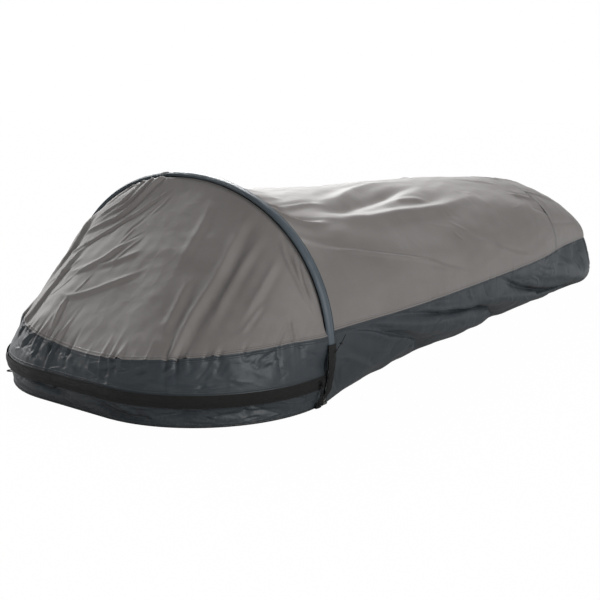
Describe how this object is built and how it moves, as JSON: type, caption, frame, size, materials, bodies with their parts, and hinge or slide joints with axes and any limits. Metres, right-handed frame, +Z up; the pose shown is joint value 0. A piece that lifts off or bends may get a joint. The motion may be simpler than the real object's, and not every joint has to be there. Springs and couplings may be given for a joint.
{
  "type": "bivy sack",
  "caption": "Hooped bivy sack: dark raised tub, grey top, arched pole in a sleeve and a hood door that opens along a front zip",
  "frame": {"origin": "centre of the footprint, on the ground", "axes": "+Z up; -Y towards the hood door, +Y towards the foot end; +X across"},
  "size_m": [0.8335, 2.1231, 0.4605],
  "materials": {
    "topCloth": "three-layer breathable cloth, warm grey, soft sheen",
    "tubCloth": "coated nylon, dark slate, slightly shiny",
    "sleeveCloth": "binding cloth, slate blue",
    "zipTape": "coated zip tape, charcoal",
    "zipCoil": "nylon coil, black",
    "sliderMetal": "black enamelled zinc",
    "poleAlloy": "anodised tube",
    "webbing": "black woven webbing",
    "tipMetal": "nickel-plated",
    "greyCord": "thin braided cord, grey",
    "blackCord": "thin braided cord, black",
    "elastic": "covered elastic cord"
  },
  "bodies": {
    "shell": {"floor_sheet": "tubCloth", "tub_wall_left": "tubCloth", "tub_wall_right": "tubCloth", "tub_wall_foot": "tubCloth", "tub_wall_front": "tubCloth", "body_canopy": "topCloth", "foot_panel": "topCloth", "pole_sleeve": "sleeveCloth", "zip_tape_lower": "zipTape", "zip_teeth_lower": "zipCoil", "zip_stop_left": "sliderMetal", "zip_stop_right": "sliderMetal", "pole_section_left": "poleAlloy", "pole_section_top": "poleAlloy", "pole_section_right": "poleAlloy", "pole_ferrule_left": "poleAlloy", "pole_ferrule_right": "poleAlloy", "pole_tip_left": "tipMetal", "pole_tip_right": "tipMetal", "shock_cord": "elastic", "pole_strap_left": "webbing", "pole_strap_right": "webbing", "grommet_left": "tipMetal", "grommet_right": "tipMetal", "strap_tail_left": "blackCord", "strap_tail_right": "blackCord", "tie_loop": "greyCord"},
    "door": {"door_panel_upper": "topCloth", "door_panel_lower": "tubCloth", "zip_tape_upper": "zipTape", "zip_teeth_upper": "zipCoil"},
    "slider_right": {"zip_slider_right": "sliderMetal"},
    "pull_right": {"zip_pull_right": "sliderMetal", "zip_pull_cord_right": "blackCord"},
    "slider_left": {"zip_slider_left": "sliderMetal"},
    "pull_left": {"zip_pull_left": "sliderMetal", "zip_pull_cord_left": "blackCord"},
    "loop_front_left": {"stake_loop_front_left": "blackCord"},
    "loop_foot": {"stake_loop_foot": "blackCord"}
  },
  "joints": [
    {"name": "door_open", "type": "hinge", "parent": "shell", "child": "door", "pos_m": [0, -0.71035, 0.11], "axis": [-1, 0, 0], "range_deg": [0, 57]},
    {"name": "slider_travel_right", "type": "hinge", "parent": "shell", "child": "slider_right", "pos_m": [0.105, -0.76535, 0.055], "axis": [0, 0, -1], "range_deg": [0, 92]},
    {"name": "pull_flip_right", "type": "hinge", "parent": "slider_right", "child": "pull_right", "pos_m": [0.40474, -0.74396, 0.054], "axis": [0.0712, -0.9975, 0], "range_deg": [0, 150]},
    {"name": "slider_travel_left", "type": "hinge", "parent": "shell", "child": "slider_left", "pos_m": [-0.105, -0.76535, 0.055], "axis": [0, 0, 1], "range_deg": [0, 92]},
    {"name": "pull_flip_left", "type": "hinge", "parent": "slider_left", "child": "pull_left", "pos_m": [-0.40474, -0.74396, 0.054], "axis": [0.0712, 0.9975, 0], "range_deg": [0, 150]},
    {"name": "loop_swing_front_left", "type": "hinge", "parent": "shell", "child": "loop_front_left", "pos_m": [-0.32317, -0.94842, 0.0016], "axis": [-0.6428, 0.766, 0], "range_deg": [0, 70]},
    {"name": "loop_swing_foot", "type": "hinge", "parent": "shell", "child": "loop_foot", "pos_m": [0, 1.03695, 0.0016], "axis": [1, 0, 0], "range_deg": [0, 70]}
  ]
}
